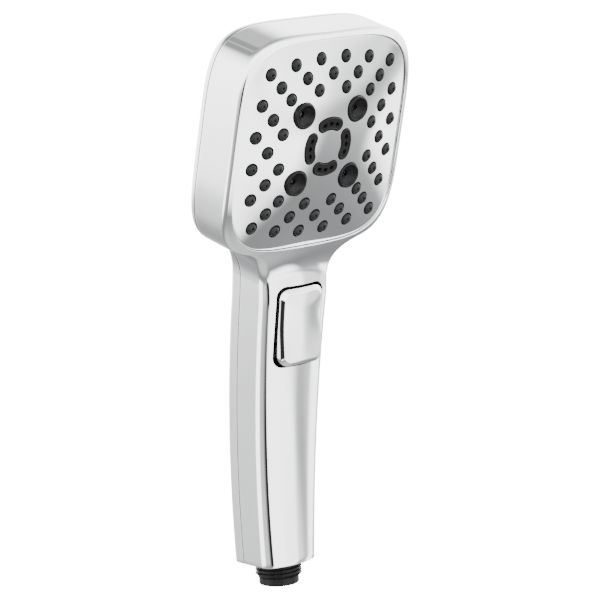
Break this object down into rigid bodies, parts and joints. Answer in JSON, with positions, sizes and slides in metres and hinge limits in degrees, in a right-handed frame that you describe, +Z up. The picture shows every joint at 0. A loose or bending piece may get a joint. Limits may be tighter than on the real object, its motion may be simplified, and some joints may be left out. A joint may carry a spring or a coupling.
{
  "type": "handheld shower head",
  "caption": "Handheld shower head with a square spray face in a rounded rim, a slim curved handle, a sprung thumb paddle that switches the spray, and a threaded hose inlet.",
  "frame": {"origin": "centre of the hose inlet's annular end face, on the inlet's axis", "axes": "+Z up the handle from the inlet, -Y towards where the spray goes, +X to the right seen from the spray side"},
  "size_m": [0.099, 0.0716, 0.254],
  "materials": {
    "chrome": "bright chrome plate on plastic",
    "black_plastic": "satin black moulded plastic",
    "grey_silicone": "soft matt silicone",
    "black_rubber": "matt rubber",
    "grey_plastic": "moulded plastic",
    "white_plastic": "moulded acetal",
    "stainless_steel": "drawn stainless steel"
  },
  "bodies": {
    "body": {"front_cover": "chrome", "rear_cover": "chrome", "spray_faceplate": "chrome", "nozzle_mat": "grey_silicone", "funnel_nozzle_1": "black_plastic", "funnel_nozzle_2": "black_plastic", "funnel_nozzle_3": "black_plastic", "funnel_nozzle_4": "black_plastic", "massage_jet_1": "black_plastic", "massage_jet_2": "black_plastic", "massage_jet_3": "black_plastic", "massage_jet_4": "black_plastic", "spray_plate": "grey_plastic", "chamber_gasket": "grey_silicone", "port_plate": "grey_plastic", "chamber_screw_1": "stainless_steel", "chamber_screw_2": "stainless_steel", "chamber_screw_3": "stainless_steel", "chamber_screw_4": "stainless_steel", "valve_housing": "grey_plastic", "housing_screw_1": "stainless_steel", "housing_screw_2": "stainless_steel", "housing_screw_3": "stainless_steel", "water_tube": "grey_plastic", "tube_seal_upper": "black_rubber", "tube_seal_lower": "black_rubber", "inlet_fitting": "black_plastic", "handle_end_cap": "black_plastic", "flow_regulator": "black_rubber", "check_valve_body": "white_plastic", "check_valve_spring": "stainless_steel", "paddle_bracket": "black_plastic", "paddle_pin": "stainless_steel", "return_spring": "stainless_steel"},
    "paddle": {"thumb_paddle": "chrome"},
    "rod": {"push_rod": "white_plastic"},
    "diverter": {"diverter_disc": "white_plastic", "diverter_spindle": "stainless_steel", "ratchet_wheel": "white_plastic"},
    "poppet": {"check_valve_poppet": "white_plastic"}
  },
  "joints": [
    {"name": "paddle_press", "type": "hinge", "parent": "body", "child": "paddle", "pos_m": [0, -0.01947, 0.13366], "axis": [1, 0, 0], "range_deg": [0, 6.5], "stiffness_Nm_per_rad": 1.5, "springref_deg": -1.72},
    {"name": "rod_slide", "type": "slide", "parent": "body", "child": "rod", "axis": [0, -0.2719, 0.9623], "range_m": [0, 0.0033], "deforming": ["return_spring"]},
    {"name": "diverter_turn", "type": "hinge", "parent": "body", "child": "diverter", "pos_m": [0, -0.03347, 0.20333], "axis": [0, -0.9623, -0.2719], "range_deg": [0, 33]},
    {"name": "check_valve_lift", "type": "slide", "parent": "body", "child": "poppet", "axis": [0, 0, 1], "range_m": [0, 0.0018], "stiffness_N_per_m": 60, "springref_m": -0.002, "deforming": ["check_valve_spring"]}
  ],
  "couplings": [
    {"joint": "rod_slide", "follows": "paddle_press", "m_per_rad": 0.0264},
    {"joint": "diverter_turn", "follows": "paddle_press", "ratio": 4.6154}
  ]
}
